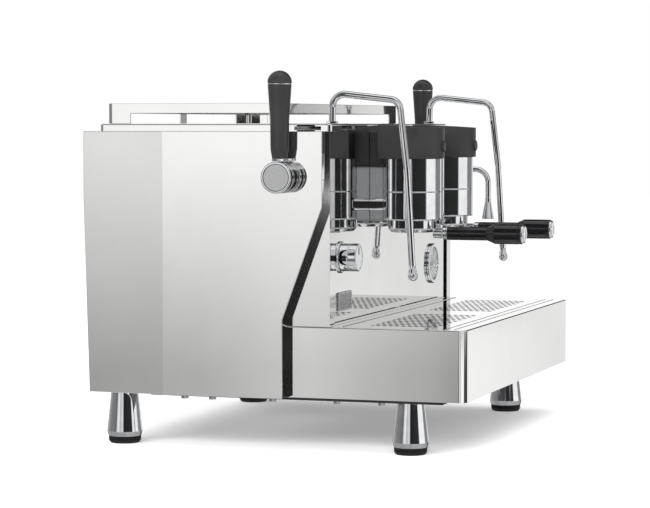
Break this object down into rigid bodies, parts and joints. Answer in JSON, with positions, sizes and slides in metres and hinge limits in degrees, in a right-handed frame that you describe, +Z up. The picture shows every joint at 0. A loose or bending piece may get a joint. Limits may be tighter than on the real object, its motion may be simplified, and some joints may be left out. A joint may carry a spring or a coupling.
{
  "type": "espresso machine",
  "caption": "Two-group semi-automatic espresso machine in polished steel with black-capped groups, side steam levers, steam wands, drip tray and cup rail.",
  "frame": {"origin": "on the floor under the middle of the machine's bounding box", "axes": "+Z up; +Y towards the machine's rear, so the operator stands at -Y; +X to the operator's right"},
  "size_m": [0.7586, 0.588, 0.532],
  "materials": {
    "polished_steel": "mirror-polished stainless sheet",
    "brushed_steel": "satin stainless sheet",
    "chrome": "bright chrome plate",
    "black_paint": "satin black paint",
    "matte_black": "satin moulded black",
    "gloss_black": "glossy moulded black",
    "rubber": "matte black rubber",
    "copper": "bare copper",
    "brass": "bare brass",
    "white_paint": "white dial",
    "clear_glass": "clear glass",
    "grey_paint": "grey enamel",
    "grey_plastic": "grey housing"
  },
  "bodies": {
    "machine": {"badge_plate": "brushed_steel", "base_pan": "black_paint", "boiler": "copper", "boiler_cradle": "brushed_steel", "control_box": "grey_plastic", "cup_rail": "polished_steel", "drip_box": "polished_steel", "foot_front_left": "chrome", "foot_front_right": "chrome", "foot_pad_front_left": "rubber", "foot_pad_front_right": "rubber", "foot_pad_rear_left": "rubber", "foot_pad_rear_right": "rubber", "foot_rear_left": "chrome", "foot_rear_right": "chrome", "front_panel": "polished_steel", "gauge_case": "chrome", "gauge_dial": "white_paint", "gauge_glass": "clear_glass", "group_barrel_left": "chrome", "group_barrel_right": "chrome", "group_cap_left": "matte_black", "group_cap_right": "matte_black", "group_gasket_left": "rubber", "group_gasket_right": "rubber", "group_neck_left": "chrome", "group_neck_right": "chrome", "hot_water_spout": "chrome", "power_gland": "matte_black", "pump": "brass", "pump_motor": "grey_paint", "rear_panel": "polished_steel", "shower_screen_left": "brushed_steel", "shower_screen_right": "brushed_steel", "side_frame_left": "polished_steel", "side_frame_right": "polished_steel", "side_panel_left": "polished_steel", "side_panel_right": "polished_steel", "steam_valve_left": "brass", "steam_valve_right": "brass", "switch_base": "chrome", "top_cover": "polished_steel"},
    "steam_lever_left": {"lever_hub_left": "chrome", "lever_handle_left": "matte_black"},
    "wand_left": {"steam_wand_left": "chrome"},
    "portafilter_left": {"filter_holder_left": "chrome", "portafilter_handle_left": "gloss_black", "filter_basket_left": "brushed_steel"},
    "button_left": {"brew_button_left": "gloss_black"},
    "steam_lever_right": {"lever_hub_right": "chrome", "lever_handle_right": "matte_black"},
    "wand_right": {"steam_wand_right": "chrome"},
    "portafilter_right": {"filter_holder_right": "chrome", "portafilter_handle_right": "gloss_black", "filter_basket_right": "brushed_steel"},
    "button_right": {"brew_button_right": "gloss_black"},
    "knob": {"switch_knob": "chrome"},
    "needle": {"gauge_needle": "black_paint"},
    "pan": {"drip_pan": "brushed_steel"},
    "grid": {"drip_grid": "brushed_steel"}
  },
  "joints": [
    {"name": "steam_lever_left_tilt", "type": "hinge", "parent": "machine", "child": "steam_lever_left", "pos_m": [-0.344, -0.009, 0.3855], "axis": [1, 0, 0], "range_deg": [-30, 30]},
    {"name": "wand_left_swivel", "type": "hinge", "parent": "machine", "child": "wand_left", "pos_m": [-0.255, -0.05, 0.4486], "axis": [0, 0, 1], "range_deg": [-40, 35]},
    {"name": "portafilter_left_turn", "type": "hinge", "parent": "machine", "child": "portafilter_left", "pos_m": [-0.1075, -0.1253, 0.3005], "axis": [0, 0, 1], "range_deg": [-45, 0]},
    {"name": "brew_button_left_press", "type": "slide", "parent": "machine", "child": "button_left", "axis": [0, 1, 0], "range_m": [0, 0.002], "stiffness_N_per_m": 300},
    {"name": "steam_lever_right_tilt", "type": "hinge", "parent": "machine", "child": "steam_lever_right", "pos_m": [0.344, -0.009, 0.3855], "axis": [1, 0, 0], "range_deg": [-30, 30]},
    {"name": "wand_right_swivel", "type": "hinge", "parent": "machine", "child": "wand_right", "pos_m": [0.255, -0.05, 0.4486], "axis": [0, 0, 1], "range_deg": [-15, 40]},
    {"name": "portafilter_right_turn", "type": "hinge", "parent": "machine", "child": "portafilter_right", "pos_m": [0.074, -0.1253, 0.3005], "axis": [0, 0, 1], "range_deg": [-45, 0]},
    {"name": "brew_button_right_press", "type": "slide", "parent": "machine", "child": "button_right", "axis": [0, 1, 0], "range_m": [0, 0.002], "stiffness_N_per_m": 300},
    {"name": "main_switch_turn", "type": "hinge", "parent": "machine", "child": "knob", "pos_m": [-0.2636, -0.065, 0.272], "axis": [0, 1, 0], "range_deg": [0, 90]},
    {"name": "gauge_needle_turn", "type": "hinge", "parent": "machine", "child": "needle", "pos_m": [0.2153, -0.0633, 0.238], "axis": [0, 1, 0], "range_deg": [0, 270], "stiffness_Nm_per_rad": 0.002},
    {"name": "drip_pan_lift", "type": "slide", "parent": "machine", "child": "pan", "axis": [0, 0, 1], "range_m": [0, 0.03]},
    {"name": "drip_grid_lift", "type": "slide", "parent": "pan", "child": "grid", "axis": [0, 0, 1], "range_m": [0, 0.03]}
  ]
}
